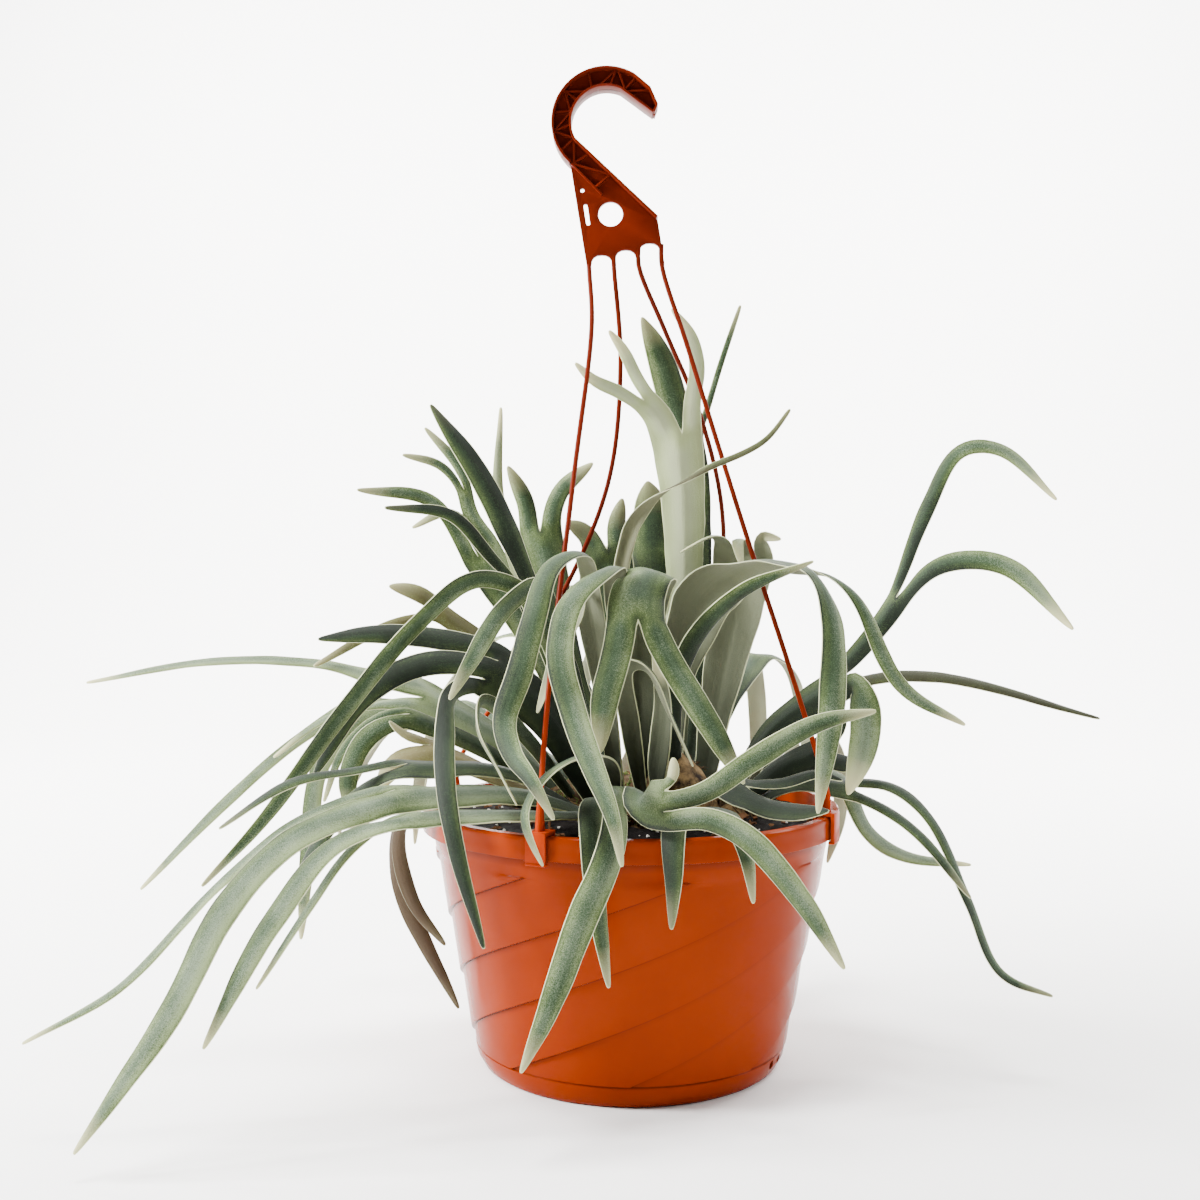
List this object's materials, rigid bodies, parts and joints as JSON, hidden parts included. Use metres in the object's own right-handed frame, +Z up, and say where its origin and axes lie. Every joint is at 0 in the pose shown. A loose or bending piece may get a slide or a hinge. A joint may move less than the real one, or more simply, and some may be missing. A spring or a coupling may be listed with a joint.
{
  "type": "staghorn fern in a hanging basket",
  "caption": "Staghorn fern with forked grey-green fronds in a round swirled plastic hanging basket with a clip-on four-strand hook.",
  "frame": {"origin": "middle of the flat underside of the pot, on the surface that it stands on", "axes": "+Z up through the middle of the pot to the hook, +Y away from the viewer, +X to the viewer's right; the hook's flat side faces -Y"},
  "size_m": [0.6015, 0.402, 0.595],
  "materials": {
    "pot_plastic": "satin",
    "hanger_plastic": "satin",
    "potting_mix": "matte",
    "crown": "matte",
    "frond": "matte",
    "dry_frond": "matte"
  },
  "bodies": {
    "root": {"pot": "pot_plastic", "potting_mix": "potting_mix", "crown": "crown", "hanger_hook": "hanger_plastic", "hanger_strand_front_left": "hanger_plastic", "hanger_strand_back_left": "hanger_plastic", "hanger_strand_back_right": "hanger_plastic", "hanger_strand_front_right": "hanger_plastic", "frond_tall_pale": "frond", "frond_tall_green": "frond", "frond_whip": "frond", "frond_arch_front": "frond", "frond_grey_right": "frond", "frond_arch_right": "frond", "frond_dark_arch": "frond", "frond_arch_low": "frond", "frond_fold_left": "frond", "frond_back_fork": "frond", "frond_back_wide": "frond", "frond_back_antler": "frond", "frond_curled_young": "frond", "frond_fan": "frond", "frond_dark_left": "frond", "frond_light_left": "frond", "frond_long_fall": "frond", "frond_dark_blade": "frond", "frond_long_left": "frond", "frond_brown_blunt": "frond", "frond_left_spray": "frond", "frond_middle_left": "frond", "frond_yellow_notched": "frond", "frond_dark_low": "frond", "frond_front_left_big": "frond", "frond_blue_left": "frond", "frond_pale_blue_thin": "frond", "frond_curl_over_rim": "frond", "frond_dead_dry": "dry_frond", "frond_strap_front_left": "frond", "frond_front_antler": "frond", "frond_strap_front": "frond", "frond_strap_right": "frond", "frond_dark_wavy": "frond", "frond_big_right": "frond", "frond_thin_right": "frond", "frond_low_right": "frond", "frond_pale_right": "frond", "frond_grey_arch_right": "frond", "frond_deep_right": "frond", "frond_back_left_high": "frond", "frond_back_left_low": "frond", "frond_back_middle": "frond", "frond_back_right_high": "frond", "frond_back_right_low": "frond", "frond_back_over_rim": "frond"}
  },
  "joints": []
}
